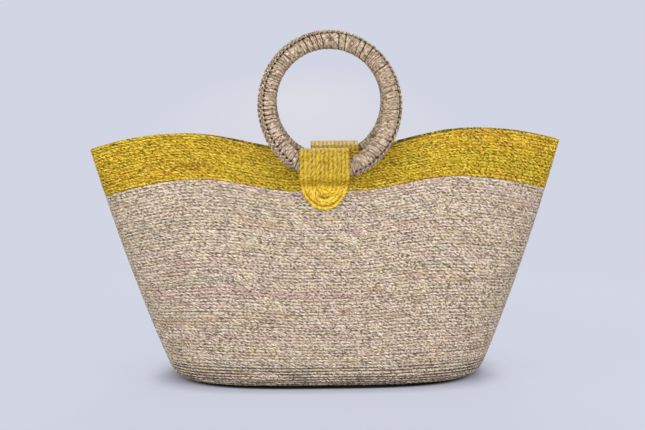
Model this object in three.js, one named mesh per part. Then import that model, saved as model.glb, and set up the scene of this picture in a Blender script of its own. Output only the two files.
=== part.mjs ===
// Palm leaf tote bag: an oval basket coiled from sewn palm braid, with a dyed band below
// the rim, and two wrapped ring handles that swing in tabs folded over the rim.
// Millimetres, +Z up, the front faces -Y, and the origin is the middle of the base on the floor.
import * as THREE from "three";

// Basket
const BASE_HALF_LENGTH = 156; // wall line carried down to the floor, before the heel is rounded
const BASE_HALF_DEPTH = 75;
const RIM_HALF_LENGTH = 242;
const RIM_HALF_DEPTH = 20;
const RIM_CENTRE_HEIGHT = 234; // the rim dips between the shoulders, where the tabs sit
const SHOULDER_RISE = 19.5; // shoulders above the centre of the rim
const SHOULDER_AT = 0.62; // place of the shoulder, as a share of the half length
const CORNER_RISE = 5; // corners above the centre of the rim
const CORNER_SKEW = 3; // hand-made: one corner stands higher and the other lower by this much
const REAR_DROP = 3.5; // hand-made: the rear rim lies this much lower than the front one, most at one shoulder
const COURSE_BOW = 9; // courses bow up by this much in the middle of each long side
const BOW_FADE = 1.3; // how fast that bow fades towards the ends, where it turns down a little
const FLARE_POWER = 0.88; // the ends flare faster near the base
const PINCH_POWER = 3; // the long sides draw in mostly near the rim
const PLAN_POWER = 3; // superellipse power of every course
const HEEL_RADIUS = 14;
const WALL_THICKNESS = 3.6;
const SEAM_GAP = 0.3;

// Braid courses, counted from the floor to the rim
const COURSE_PITCH = 3.2;
const NATURAL_LENGTHS = 5; // lengths of natural braid spliced one after the other
const COURSES_PER_LENGTH = 13;
const DYED_COURSES = 14;
const RIM_COURSES = 1;

// Ring handles
const RING_HALF_WIDTH = 62.9; // of the middle line of the rod
const RING_HALF_HEIGHT = 67.8;
const CORE_RADIUS = 6.3;
const WRAP_THICKNESS = 1.4;
const WRAP_TURNS = 24;
const WRAP_GAP_SHARE = 0.06; // share of each turn left open beside the strip
const WRAP_END_ANGLE = 0.2; // rad left open between the two ends of the strip
const RIDGE_WIDTH = 7;
const RIDGE_HEIGHT = 1.6;
const RIDGE_TURN = 22; // degrees that the ridge sits towards the front of the rod
const RIDGE_TWIST = 22; // degrees more on one side of the ring, and less on the other
const RIDGE_END_GAP = 3; // from the tab's edges to the ends of the ridge
const RING_TOUCH_GAP = 0.5; // between the two rings, which lean together

// Handle tabs
const TAB_WIDTH = 50;
const TAB_THICKNESS = 2.6;
const TAB_OFFSET = 5.8; // each tab sits a little left of the ring, seen from its own side
const TAB_TAPER = 0.14; // share of the width that a tab loses towards its end outside
const FRONT_HANDLE_SHIFT = 4.3; // handles are sewn a little off the middle of the rim
const REAR_HANDLE_SHIFT = 4.4;
const TAB_GAP = 0.4;
const LOOP_CLEARANCE = 0.6;
const LOOP_TOP_ABOVE_RIM = 5;
const SEAM_DROP = 16; // from the ring down to the line where the tab meets the wall
const OUTER_LEG = 26;
const SEAM_BEND = 8; // length over which the tab turns away from the wall
const INNER_LEG = 48;
const THREAD_RADIUS = 0.6;
const STITCH_INSET = 4;

// Fineness of the meshes
const PLAN_STEPS = 11; // in each quarter of a course
const WRAP_STEPS = 10; // in each turn
const CORE_STEPS = 40;
const CORE_SIDES = 8;
const RIDGE_STEPS = 44;
const BEND_STEPS = 4; // of a tab's rounded end
const TAB_STEPS = 34;
const THREAD_SIDES = 6;
const THREAD_STEPS = 26;

const NATURAL_PALM = { color: 0xc4b299, roughness: 0.72, metalness: 0 };
const DYED_PALM = { color: 0xcba53a, roughness: 0.68, metalness: 0 };
const RING_PALM = { color: 0xb8a58c, roughness: 0.7, metalness: 0 };
const CANE = { color: 0xa58a63, roughness: 0.65, metalness: 0 };
const THREAD = { color: 0xbf9a3c, roughness: 0.6, metalness: 0 };

const bag = new THREE.Group();
bag.name = "palm_leaf_tote_bag";

function addPiece(parent, name, geometry, finish) {
  const piece = new THREE.Mesh(geometry, new THREE.MeshStandardMaterial(finish));
  piece.name = name;
  parent.add(piece);
  return piece;
}

// Skins loops of points into one closed surface. Joined loops run round to the first again,
// and otherwise the first and last loops are capped. Faces are turned outwards at the end.
function skin(loops, joined) {
  const count = loops.length;
  const sides = loops[0].length;
  const points = loops.flat();
  const index = [];
  for (let i = 0; i < (joined ? count : count - 1); i++) {
    for (let j = 0; j < sides; j++) {
      const next = (j + 1) % sides;
      const [a, b] = [i * sides + j, i * sides + next];
      const [c, d] = [((i + 1) % count) * sides + next, ((i + 1) % count) * sides + j];
      if (points[a].distanceTo(points[c]) < points[b].distanceTo(points[d])) {
        index.push(a, b, c, a, c, d);
      } else {
        index.push(a, b, d, b, c, d);
      }
    }
  }
  if (!joined) {
    const end = (count - 1) * sides;
    for (let j = 1; j < sides - 1; j++) {
      index.push(0, j + 1, j, end, end + j, end + j + 1);
    }
  }
  let volume = 0;
  for (let i = 0; i < index.length; i += 3) {
    const [a, b, c] = [points[index[i]], points[index[i + 1]], points[index[i + 2]]];
    volume += a.dot(b.clone().cross(c)) / 6;
  }
  return new THREE.BufferGeometry()
    .setAttribute("position", new THREE.Float32BufferAttribute(points.flatMap((p) => p.toArray()), 3))
    .setIndex(volume < 0 ? index.reverse() : index);
}

// Basket wall
const COURSES = NATURAL_LENGTHS * COURSES_PER_LENGTH + DYED_COURSES + RIM_COURSES;
const SLANT = COURSES * COURSE_PITCH; // from the floor to the rim, along the wall
const HEEL_LENGTH = (Math.PI / 2) * HEEL_RADIUS;

// The rim is level across the tabs, out to this share of its half length.
const handleShift = Math.max(Math.abs(FRONT_HANDLE_SHIFT), Math.abs(REAR_HANDLE_SHIFT));
const levelShare = (TAB_WIDTH / 2 + TAB_OFFSET + handleShift) / RIM_HALF_LENGTH;

// Directions of the meridians on a unit superellipse, spaced evenly along a middle course,
// with one beside each edge of the tabs.
function planDirections() {
  const fine = 2000;
  const halfLength = (BASE_HALF_LENGTH + RIM_HALF_LENGTH) / 2;
  const halfDepth = (BASE_HALF_DEPTH + RIM_HALF_DEPTH) / 2;
  const quarter = [];
  let travelled = 0;
  for (let i = 0; i <= fine; i++) {
    const angle = (i / fine) * (Math.PI / 2);
    const x = Math.cos(angle) ** (2 / PLAN_POWER);
    const y = Math.sin(angle) ** (2 / PLAN_POWER);
    if (i > 0) {
      const last = quarter[i - 1];
      travelled += Math.hypot((x - last.x) * halfLength, (y - last.y) * halfDepth);
    }
    quarter.push({ x, y, travelled });
  }
  const picked = [];
  for (let k = 0; k < PLAN_STEPS; k++) {
    picked.push(quarter.find((p) => p.travelled >= (k / PLAN_STEPS) * travelled - 1e-9));
  }
  const besideTab = { x: levelShare, y: (1 - levelShare ** PLAN_POWER) ** (1 / PLAN_POWER) };
  const inner = [...picked.slice(1).filter((p) => p.x > 1.5 * levelShare), besideTab];
  const half = [
    picked[0],
    ...inner,
    { x: 0, y: 1 },
    ...inner.map((p) => ({ x: -p.x, y: p.y })).reverse(),
  ];
  return [...half, ...half.map((p) => ({ x: -p.x, y: -p.y }))];
}

// Height of the rim above its centre, in a direction of the plan.
function rimWave(direction) {
  const across = Math.min(Math.abs(direction.x), 1);
  const climb = THREE.MathUtils.clamp((across - levelShare) / (SHOULDER_AT - levelShare), 0, 1);
  const rise = Math.sin((climb * Math.PI) / 2) ** 1.5;
  const past = Math.max(across - SHOULDER_AT, 0) / (1 - SHOULDER_AT);
  const skew = CORNER_SKEW * direction.x * across;
  const drop = (REAR_DROP / 4) * (1 - direction.x) * direction.y * rise;
  return SHOULDER_RISE * rise - (SHOULDER_RISE - CORNER_RISE) * past ** 2 + skew - drop;
}

// Share of the bow from the heel (0) to the rim (1): most at two thirds of the way up, and none at either end.
const bowShare = (straight) => (27 / 4) * straight ** 2 * (1 - straight);

// Point of the outer face, in a direction of the plan and at a distance up the wall from the floor.
function wallPoint(direction, up) {
  const turned = Math.min(up / HEEL_RADIUS, Math.PI / 2);
  const inset = HEEL_RADIUS * (1 - Math.sin(turned));
  const straight = Math.max(up - HEEL_LENGTH, 0) / (SLANT - HEEL_LENGTH);
  const height = HEEL_RADIUS * (1 - Math.cos(turned)) + (RIM_CENTRE_HEIGHT - HEEL_RADIUS) * straight;
  const share = height / RIM_CENTRE_HEIGHT;
  const flare = Math.abs(share) ** FLARE_POWER;
  const pinch = 1 - Math.abs(share) ** PINCH_POWER;
  const halfLength = THREE.MathUtils.lerp(BASE_HALF_LENGTH, RIM_HALF_LENGTH, flare) - inset;
  const halfDepth = THREE.MathUtils.lerp(RIM_HALF_DEPTH, BASE_HALF_DEPTH, pinch) - inset;
  const bow = COURSE_BOW * bowShare(straight) * (1 - BOW_FADE * direction.x ** 2);
  return new THREE.Vector3(
    halfLength * direction.x,
    halfDepth * direction.y,
    height + straight * rimWave(direction) + bow,
  );
}

// Outward normals of one course, from the points beside each point and above and below it.
function courseNormals(directions, up) {
  const step = 0.5;
  const low = directions.map((d) => wallPoint(d, Math.max(up - step, 0)));
  const high = directions.map((d) => wallPoint(d, up + step));
  const ring = directions.map((d) => wallPoint(d, up));
  const count = ring.length;
  return ring.map((_, i) => {
    const along = ring[(i + 1) % count].clone().sub(ring[(i + count - 1) % count]);
    return along.cross(high[i].clone().sub(low[i])).normalize();
  });
}

const directions = planDirections();

// A band of courses: a closed ring of wall between two seams, each a distance up the wall. It
// stops short of both, and its end faces keep the seam's own direction, so that bands stay clear.
function courseBand(from, to, steps) {
  const low = from > 0 ? from + SEAM_GAP / 2 : from;
  const high = to < SLANT ? to - SEAM_GAP / 2 : to;
  const levels = [];
  for (let k = 0; k <= steps; k++) {
    const up = THREE.MathUtils.lerp(low, high, k / steps);
    const normals = courseNormals(directions, THREE.MathUtils.lerp(from, to, k / steps));
    levels.push(directions.map((d, i) => {
      const outside = wallPoint(d, up);
      return { outside, inside: outside.clone().addScaledVector(normals[i], -WALL_THICKNESS) };
    }));
  }
  const loops = directions.map((_, i) => [
    ...levels.map((level) => level[i].outside),
    ...levels.map((level) => level[i].inside).reverse(),
  ]);
  return skin(loops, true);
}

// Base: a flat oval coil that the heel of the wall stands round.
const floorHalfLength = BASE_HALF_LENGTH - HEEL_RADIUS - SEAM_GAP;
const floorHalfDepth = BASE_HALF_DEPTH - HEEL_RADIUS - SEAM_GAP;
const baseOutline = new THREE.Shape(
  directions.map((d) => new THREE.Vector2(floorHalfLength * d.x, floorHalfDepth * d.y)),
);
const base = new THREE.ExtrudeGeometry(baseOutline, { depth: WALL_THICKNESS, bevelEnabled: false });
addPiece(bag, "base_coil", base, NATURAL_PALM);

const bands = [];
for (let k = 1; k <= NATURAL_LENGTHS; k++) {
  bands.push({
    name: `wall_braid_${k}`,
    courses: COURSES_PER_LENGTH,
    steps: k === 1 ? 6 : 2,
    finish: NATURAL_PALM,
  });
}
bands.push({ name: "dyed_band_braid", courses: DYED_COURSES, steps: 3, finish: DYED_PALM });
bands.push({ name: "rim_braid", courses: RIM_COURSES, steps: 1, finish: DYED_PALM });
let sewn = 0;
for (const band of bands) {
  const from = sewn * COURSE_PITCH;
  sewn += band.courses;
  addPiece(bag, band.name, courseBand(from, sewn * COURSE_PITCH, band.steps), band.finish);
}

// The wrap is a flat strip, so its facets lie closer to the rod than its corners do, and its
// corners stand off far enough for the facets to clear the core.
const wrapPitch = (2 * Math.PI) / WRAP_TURNS;
const wrapHalfWidth = (wrapPitch * (1 - WRAP_GAP_SHARE)) / 2;
const wrapDip = (RING_HALF_HEIGHT + CORE_RADIUS) * (1 - Math.cos(wrapHalfWidth));
const wrapInside = (CORE_RADIUS + SEAM_GAP + wrapDip) / Math.cos(Math.PI / WRAP_STEPS);
const wrapOutside = wrapInside + WRAP_THICKNESS;

// Ring rod in the ring's own frame, with the ring's middle at the origin and the ring standing in XZ.
// The point lies at an angle round the ring from its foot, at an angle round the rod from the ring's
// outer side towards the front, and at a distance from the rod's middle line.
function rodPoint(round, turn, distance) {
  const middle = new THREE.Vector3(RING_HALF_WIDTH * Math.sin(round), 0, -RING_HALF_HEIGHT * Math.cos(round));
  const outward = new THREE.Vector3(
    RING_HALF_HEIGHT * Math.sin(round),
    0,
    -RING_HALF_WIDTH * Math.cos(round),
  ).normalize();
  return middle
    .addScaledVector(outward, distance * Math.cos(turn))
    .add(new THREE.Vector3(0, -distance * Math.sin(turn), 0));
}

// Inside the tab the rod reaches from the foot of the ring up to its inner side at the tab's farther
// edge. The hinge is the middle of that reach, and the loop is wide enough for the rod to turn in it.
const nearEdge = TAB_WIDTH / 2 - TAB_OFFSET;
const farEdge = TAB_WIDTH / 2 + TAB_OFFSET;
let innerAngle = 0;
while (rodPoint(innerAngle, Math.PI, wrapOutside).x < farEdge) {
  innerAngle += 0.002;
}
const rodLow = rodPoint(0, 0, wrapOutside).z;
const rodHigh = rodPoint(innerAngle, Math.PI, wrapOutside).z;
const ringCentre = -(rodLow + rodHigh) / 2; // above the hinge
const loopRadius = (rodHigh - rodLow) / 2 + LOOP_CLEARANCE;
const tabRadius = loopRadius + TAB_THICKNESS / 2; // of the middle of the strip round the rod
const hingeHeight = RIM_CENTRE_HEIGHT + LOOP_TOP_ABOVE_RIM - loopRadius - TAB_THICKNESS;

// Front wall at the tab, as points (y, z) of its outer face with their normals, from the floor up.
const frontCentre = { x: 0, y: -1 };
const wallSlice = (up) => {
  const below = wallPoint(frontCentre, up - 0.5);
  const above = wallPoint(frontCentre, up + 0.5);
  const point = wallPoint(frontCentre, up);
  const along = new THREE.Vector2(above.y - below.y, above.z - below.z).normalize();
  return { point: new THREE.Vector2(point.y, point.z), normal: new THREE.Vector2(-along.y, along.x) };
};
const slices = [];
for (let up = HEEL_LENGTH; up < SLANT; up += 0.5) {
  slices.push({ up, ...wallSlice(up) });
}
const nearestSlice = (spot) =>
  slices.reduce((best, s) => (s.point.distanceTo(spot) < best.point.distanceTo(spot) ? s : best));

// The hinge stands off the wall by the loop's radius.
const hinge = new THREE.Vector2(-BASE_HALF_DEPTH - loopRadius, hingeHeight);
for (let pass = 0; pass < 12; pass++) {
  hinge.x += nearestSlice(hinge).point.distanceTo(hinge) - loopRadius - TAB_GAP;
}
const behindRod = nearestSlice(hinge).up;

// Middle line of the tab in the (y, z) plane: up the outside of the wall to the seam below the
// rod, round the front and top of the rod, over the rim, and down the inside of the wall.
function tabLine() {
  const offWall = TAB_GAP + TAB_THICKNESS / 2;
  const outside = (up) => {
    const { point, normal } = wallSlice(up);
    return point.clone().addScaledVector(normal, offWall);
  };
  const inside = (up) => {
    const { point, normal } = wallSlice(up);
    return point.clone().addScaledVector(normal, -WALL_THICKNESS - offWall);
  };
  const seamUp = behindRod - SEAM_DROP;
  const seam = outside(seamUp);
  const fromHinge = seam.clone().sub(hinge);
  const leave = fromHinge.angle() - Math.acos(tabRadius / fromHinge.length());

  const rim = wallSlice(SLANT - WALL_THICKNESS / 2);
  const rimMiddle = rim.point.clone().addScaledVector(rim.normal, -WALL_THICKNESS / 2);
  const rimRadius = WALL_THICKNESS / Math.SQRT2 + offWall;
  const toRim = rimMiddle.clone().sub(hinge);
  const cross = toRim.angle() + Math.acos((tabRadius - rimRadius) / toRim.length());
  const down = rim.normal.clone().negate().angle() - 2 * Math.PI;

  const rodSide = hinge.clone().add(new THREE.Vector2(tabRadius, 0).rotateAround(new THREE.Vector2(), leave));
  const towardsRod = rodSide.clone().sub(seam).normalize();
  const line = new THREE.Path();
  const low = outside(seamUp - OUTER_LEG);
  line.moveTo(low.x, low.y);
  const shares = [0.25, 0.5, 0.75, 1];
  line.splineThru(shares.map((share) => outside(seamUp - THREE.MathUtils.lerp(OUTER_LEG, SEAM_BEND, share))));
  const turned = seam.clone().addScaledVector(towardsRod, SEAM_BEND);
  line.quadraticCurveTo(seam.x, seam.y, turned.x, turned.y);
  line.lineTo(rodSide.x, rodSide.y);
  line.absarc(hinge.x, hinge.y, tabRadius, leave, cross, true);
  const overRim = rimMiddle.clone().add(new THREE.Vector2(rimRadius, 0).rotateAround(new THREE.Vector2(), cross));
  line.lineTo(overRim.x, overRim.y);
  line.absarc(rimMiddle.x, rimMiddle.y, rimRadius, cross, down, true);
  line.splineThru(shares.map((share) => inside(SLANT - share * INNER_LEG)));
  return line;
}

const tabPath = tabLine();
const tabLength = tabPath.getLength();

// Place on the tab at a distance along its middle line, with the normal that faces away from the rod.
function tabPlace(along) {
  const share = THREE.MathUtils.clamp(along / tabLength, 0, 1);
  const point = tabPath.getPointAt(share);
  const tangent = tabPath.getTangentAt(share);
  return { point, normal: new THREE.Vector2(-tangent.y, tangent.x) };
}

function tabPoint(along, across, height) {
  const { point, normal } = tabPlace(along);
  const raised = point.clone().addScaledVector(normal, height);
  const lost = TAB_TAPER * (1 - THREE.MathUtils.smoothstep(along, STITCH_INSET, 1.5 * OUTER_LEG));
  return new THREE.Vector3(across * (1 - lost) - TAB_OFFSET, raised.x, raised.y);
}

// The strip has half-round ends, so its width grows over the first and last half width.
function tabGeometry() {
  const endRadius = TAB_WIDTH / 2;
  const stations = [];
  for (let k = 0; k < BEND_STEPS; k++) {
    const angle = ((k + 0.3) / BEND_STEPS) * (Math.PI / 2);
    stations.push({ along: endRadius * (1 - Math.cos(angle)), half: endRadius * Math.sin(angle) });
  }
  const far = stations.map((s) => ({ along: tabLength - s.along, half: s.half })).reverse();
  for (let k = 0; k <= TAB_STEPS; k++) {
    const along = THREE.MathUtils.lerp(endRadius, tabLength - endRadius, k / TAB_STEPS);
    stations.push({ along, half: endRadius });
  }
  stations.push(...far);
  const t = TAB_THICKNESS / 2;
  return skin(stations.map(({ along, half }) => [
    tabPoint(along, -half, -t),
    tabPoint(along, half, -t),
    tabPoint(along, half, t),
    tabPoint(along, -half, t),
  ]), false);
}

// Sewing thread round a tab's end, on the face that shows: down one side, round the end and up the other.
// It stops before the tab bends away from the wall.
function stitchGeometry(end) {
  const radius = TAB_WIDTH / 2 - STITCH_INSET;
  const centre = TAB_WIDTH / 2;
  const reach = end === "outer" ? OUTER_LEG - SEAM_BEND : INNER_LEG - 2 * SEAM_BEND;
  const height = TAB_THICKNESS / 2 + SEAM_GAP + THREAD_RADIUS;
  const place = (along, across) => tabPoint(end === "outer" ? along : tabLength - along, across, height);
  const start = reach < centre ? Math.asin((centre - reach) / radius) : 0;
  const points = [];
  for (let k = 0; k <= 2 * BEND_STEPS; k++) {
    const angle = THREE.MathUtils.lerp(start, Math.PI - start, k / (2 * BEND_STEPS));
    points.push(place(centre - radius * Math.sin(angle), -radius * Math.cos(angle)));
  }
  if (reach > centre) {
    points.unshift(place(reach, -radius));
    points.push(place(reach, radius));
  }
  const section = new THREE.Shape();
  for (let k = 0; k < THREAD_SIDES; k++) {
    const angle = (k / THREAD_SIDES) * 2 * Math.PI;
    const corner = [THREAD_RADIUS * Math.cos(angle), THREAD_RADIUS * Math.sin(angle)];
    if (k === 0) section.moveTo(...corner);
    else section.lineTo(...corner);
  }
  section.closePath();
  return new THREE.ExtrudeGeometry(section, {
    steps: THREAD_STEPS,
    bevelEnabled: false,
    extrudePath: new THREE.CatmullRomCurve3(points),
  });
}

// Ring handle: a cane rod wrapped with palm.
function coreGeometry() {
  const loops = [];
  for (let i = 0; i < CORE_STEPS; i++) {
    const loop = [];
    for (let j = 0; j < CORE_SIDES; j++) {
      loop.push(rodPoint((i / CORE_STEPS) * 2 * Math.PI, (j / CORE_SIDES) * 2 * Math.PI, CORE_RADIUS));
    }
    loops.push(loop);
  }
  return skin(loops, true);
}

// The wrap is one strip wound round the rod all the way round the ring. Its ends stop short of each other.
function wrapGeometry() {
  const total = WRAP_TURNS * 2 * Math.PI - WRAP_END_ANGLE;
  const count = WRAP_TURNS * WRAP_STEPS;
  const loops = [];
  for (let i = 0; i <= count; i++) {
    const turn = (i / count) * total;
    const round = turn / WRAP_TURNS;
    loops.push([
      rodPoint(round - wrapHalfWidth, turn, wrapInside),
      rodPoint(round + wrapHalfWidth, turn, wrapInside),
      rodPoint(round + wrapHalfWidth, turn, wrapOutside),
      rodPoint(round - wrapHalfWidth, turn, wrapOutside),
    ]);
  }
  return skin(loops, false);
}

// Least gap of the wrap to itself: one edge against the other edge a turn later, and its two ends.
function wrapLeastGap() {
  let least = rodPoint(0, 0, wrapInside).distanceTo(rodPoint(0, -WRAP_END_ANGLE, wrapInside));
  for (let i = 0; i < WRAP_TURNS * WRAP_STEPS; i++) {
    const turn = (i / WRAP_STEPS) * 2 * Math.PI;
    const round = turn / WRAP_TURNS;
    for (const radius of [wrapInside, wrapOutside]) {
      const edge = rodPoint(round + wrapHalfWidth, turn, radius);
      const later = rodPoint(round + wrapPitch - wrapHalfWidth, turn, radius);
      least = Math.min(least, edge.distanceTo(later));
    }
  }
  return least;
}

// The wrap is locked by a ridge of knots along the ring's outer side, which stops beside the tab. It
// was tied by hand, so it wanders round the rod from one side of the ring to the other.
function ridgeGeometry() {
  const nearEnd = Math.asin((nearEdge + RIDGE_END_GAP) / RING_HALF_WIDTH);
  const farEnd = 2 * Math.PI - Math.asin((farEdge + RIDGE_END_GAP) / RING_HALF_WIDTH);
  const halfTurn = RIDGE_WIDTH / 2 / wrapOutside;
  const low = wrapOutside + SEAM_GAP;
  const high = low + RIDGE_HEIGHT;
  const loops = [];
  for (let i = 0; i <= RIDGE_STEPS; i++) {
    const round = THREE.MathUtils.lerp(nearEnd, farEnd, i / RIDGE_STEPS);
    const turn = THREE.MathUtils.degToRad(RIDGE_TURN - RIDGE_TWIST * Math.sin(round));
    loops.push([
      rodPoint(round, turn - halfTurn, low),
      rodPoint(round, turn, low),
      rodPoint(round, turn + halfTurn, low),
      rodPoint(round, turn + halfTurn / 2, high),
      rodPoint(round, turn - halfTurn / 2, high),
    ]);
  }
  return skin(loops, false);
}

// The rings lean together until their tops meet over the mouth.
const topOfRod = ringCentre + RING_HALF_HEIGHT;
const lean = Math.asin((-hinge.x - wrapOutside - RING_TOUCH_GAP / 2) / topOfRod);

const handles = [
  { side: "front", turned: 0, shift: FRONT_HANDLE_SHIFT },
  { side: "rear", turned: Math.PI, shift: REAR_HANDLE_SHIFT },
];
for (const { side, turned, shift } of handles) {
  const handle = new THREE.Group();
  handle.rotation.z = turned;
  handle.position.x = shift;
  bag.add(handle);
  addPiece(handle, `${side}_tab`, tabGeometry(), DYED_PALM);
  addPiece(handle, `${side}_tab_outer_stitching`, stitchGeometry("outer"), THREAD);
  addPiece(handle, `${side}_tab_inner_stitching`, stitchGeometry("inner"), THREAD);
  const ring = new THREE.Group();
  ring.position.set(0, hinge.x, hinge.y);
  ring.rotation.x = -lean;
  handle.add(ring);
  addPiece(ring, `${side}_ring_core`, coreGeometry().translate(0, 0, ringCentre), CANE);
  addPiece(ring, `${side}_ring_wrap`, wrapGeometry().translate(0, 0, ringCentre), RING_PALM);
  addPiece(ring, `${side}_ring_knot_ridge`, ridgeGeometry().translate(0, 0, ringCentre), RING_PALM);
}

console.log(`ring wrap: ${WRAP_TURNS} turns, least gap to itself ${wrapLeastGap().toFixed(2)} mm`);
console.log(
  `ring hinge: y ${hinge.x.toFixed(2)}, z ${hinge.y.toFixed(2)} mm, ` +
    `lean ${THREE.MathUtils.radToDeg(lean).toFixed(2)} degrees, loop radius ${loopRadius.toFixed(2)} mm, ` +
    `rod radius ${wrapOutside.toFixed(2)} mm`,
);

export default bag;
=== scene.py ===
"""Palm leaf tote bag: an oval basket coiled from sewn palm braid, natural below and dyed under the rim,
with two wound ring handles that swing in tabs folded over the rim. Shapes are worked out in millimetres."""

import bmesh
import bpy
import numpy as np
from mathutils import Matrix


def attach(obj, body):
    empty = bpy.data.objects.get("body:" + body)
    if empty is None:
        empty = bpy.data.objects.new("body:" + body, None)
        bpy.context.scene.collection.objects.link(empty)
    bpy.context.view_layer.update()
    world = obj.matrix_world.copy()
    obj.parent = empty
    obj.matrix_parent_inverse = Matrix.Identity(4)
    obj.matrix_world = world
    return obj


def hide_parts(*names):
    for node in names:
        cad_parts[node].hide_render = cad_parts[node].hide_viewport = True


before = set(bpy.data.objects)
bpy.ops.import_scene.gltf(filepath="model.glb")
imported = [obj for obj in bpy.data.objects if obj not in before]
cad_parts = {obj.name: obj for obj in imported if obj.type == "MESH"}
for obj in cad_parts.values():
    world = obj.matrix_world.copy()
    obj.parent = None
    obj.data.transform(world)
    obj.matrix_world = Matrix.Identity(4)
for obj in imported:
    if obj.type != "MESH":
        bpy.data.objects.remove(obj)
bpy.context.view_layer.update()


# Base coil
# The floor of the basket: one palm braid wound flat from a straight line in the middle out to the heel,
# each turn sewn to the one before. It is dried palm leaf, undyed, and it is the first piece made.
COURSE_PITCH = 3.2
STRAND_PITCH = 5.5
LEAN = 0.95  # strands that one strand leans over while it crosses a course
PLAN_POWER = 3
PLAN_STEPS = 16000
BASE_HALF_LENGTH = 156
BASE_HALF_DEPTH = 75
HEEL_RADIUS = 14
SEAM_GAP = 0.3
WALL_THICKNESS = 3.6
COURSE_DROP = 0.95  # depth of the groove between two courses
STRAND_DROP = 0.6  # depth of the groove between two strands
STRAND_LATE = 1.4  # over 1, a strand is highest past its middle
STRAND_FULL = 0.6  # under 1, it is fuller than a half wave
STRAND_LEAST = 0.2  # share of its depth that every groove has
# painted shade on a strand where it slips under the next
STRAND_DARK = 0.25
STRAND_UNEVEN = 0.3  # how much lower a strand may lie by chance
LINE_DARK = 0.2  # painted shade of the groove between two courses, at the least
LINE_DARKER = 0.5  # more by chance
LINE_GAPE_DARK = 2.2  # more where it gapes
HOLE_DROP = 0.7  # more where both meet, and a small hole is left
HOLE_LENGTH = 0.19  # share of a strand
HOLE_WIDTH = 0.22  # share of a course
HOLE_OPEN = 1.3  # painted shade of the most open hole
COURSE_CUTS = np.array([0, 0.15, 0.5, 0.85])  # where a course has rows of points
BASE_COLUMNS = 720
BASE_MAP_ROW = -40  # where the base starts on the leaf's map, so that no two pieces share strips
MM = 0.001  # metres
WELD = 1e-6  # metres within which two points are one


def chance(first, second, salt):
    """A fixed random share for each pair of numbers: the fraction of a large sine of their weighted sum."""
    return np.modf(np.abs(np.sin(first * 12.9898 + second * 78.233 + salt * 37.719) * 43758.5453))[0]


def braid_relief(strand, course, deep=1.0):
    """Drop below the braid's crests in mm, and the painted shade of the place. The whole part of a coordinate
    says which strand and course, and its fraction where on it. A course is a half wave with narrow grooves
    at its edges, which get painted shade, and are deeper and more shaded where deep is over 1. A strand rises
    slowly and falls fast, so that each seems to slip under the next, by a chance depth, and is painted shaded
    where it slips under. Where the grooves meet there is a small round hole, open or nearly closed by chance,
    and painted dark as shade."""
    part = np.mod(strand, 1)
    edge = np.mod(course, 1)
    which = np.floor(strand)
    row = np.floor(course)
    across = np.sqrt(np.sin(np.pi * edge))
    along = np.sin(np.pi * part**STRAND_LATE) ** STRAND_FULL
    slip = (1 - along) * (STRAND_LEAST + (1 - STRAND_LEAST) * chance(which, row, 3))
    off_strand = np.minimum(part, 1 - part) / HOLE_LENGTH
    off_course = np.minimum(edge, 1 - edge) / HOLE_WIDTH
    hole = np.exp(-(off_strand**2) - off_course**2) * HOLE_OPEN * chance(which, row, 2) ** 2
    lower = STRAND_DROP * slip + STRAND_UNEVEN * chance(which, row, 1)
    drop = COURSE_DROP * deep * (1 - across) + across * lower
    open_line = LINE_DARK + LINE_DARKER * chance(np.floor(which / 2), row, 9) + LINE_GAPE_DARK * (deep - 1)
    painted_shade = (1 - across) * open_line + hole + STRAND_DARK * across * slip
    return drop + HOLE_DROP * hole, np.clip(painted_shade, 0, 1)


def plan_direction(share, half_length, half_depth):
    """Point (x, y) of the unit superellipse at a share of the way round an oval of these half sizes, and the
    oval's length. The oval is walked at even angles, its chords are summed, and the share is looked up in
    that sum."""
    angle = np.linspace(0, 2 * np.pi, PLAN_STEPS + 1)
    power = np.abs(np.cos(angle)) ** PLAN_POWER + np.abs(np.sin(angle)) ** PLAN_POWER
    x = np.cos(angle) / power ** (1 / PLAN_POWER)
    y = np.sin(angle) / power ** (1 / PLAN_POWER)
    chords = np.hypot(np.diff(x) * half_length, np.diff(y) * half_depth)
    walked = np.concatenate([[0], np.cumsum(chords)])
    place = np.mod(share, 1) * walked[-1]
    return np.interp(place, walked, x), np.interp(place, walked, y), walked[-1]


def grid_faces(rows, columns, rows_joined=False, twist=0):
    """Quads of a grid of points that is closed round its columns, as point numbers and as their places
    (row, column) before closing. Joined rows run round to the first again, turned by a twist of columns."""
    spans = rows if rows_joined else rows - 1
    row, column = np.meshgrid(np.arange(spans), np.arange(columns), indexing="ij")
    row = row.ravel()
    column = column.ravel()
    corner_row = np.stack([row, row, row + 1, row + 1], 1)
    corner_column = np.stack([column, column + 1, column + 1, column], 1)
    turned = corner_column - twist * (corner_row == rows)
    number = np.mod(corner_row, rows) * columns + np.mod(turned, columns)
    return number, corner_row, corner_column


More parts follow.
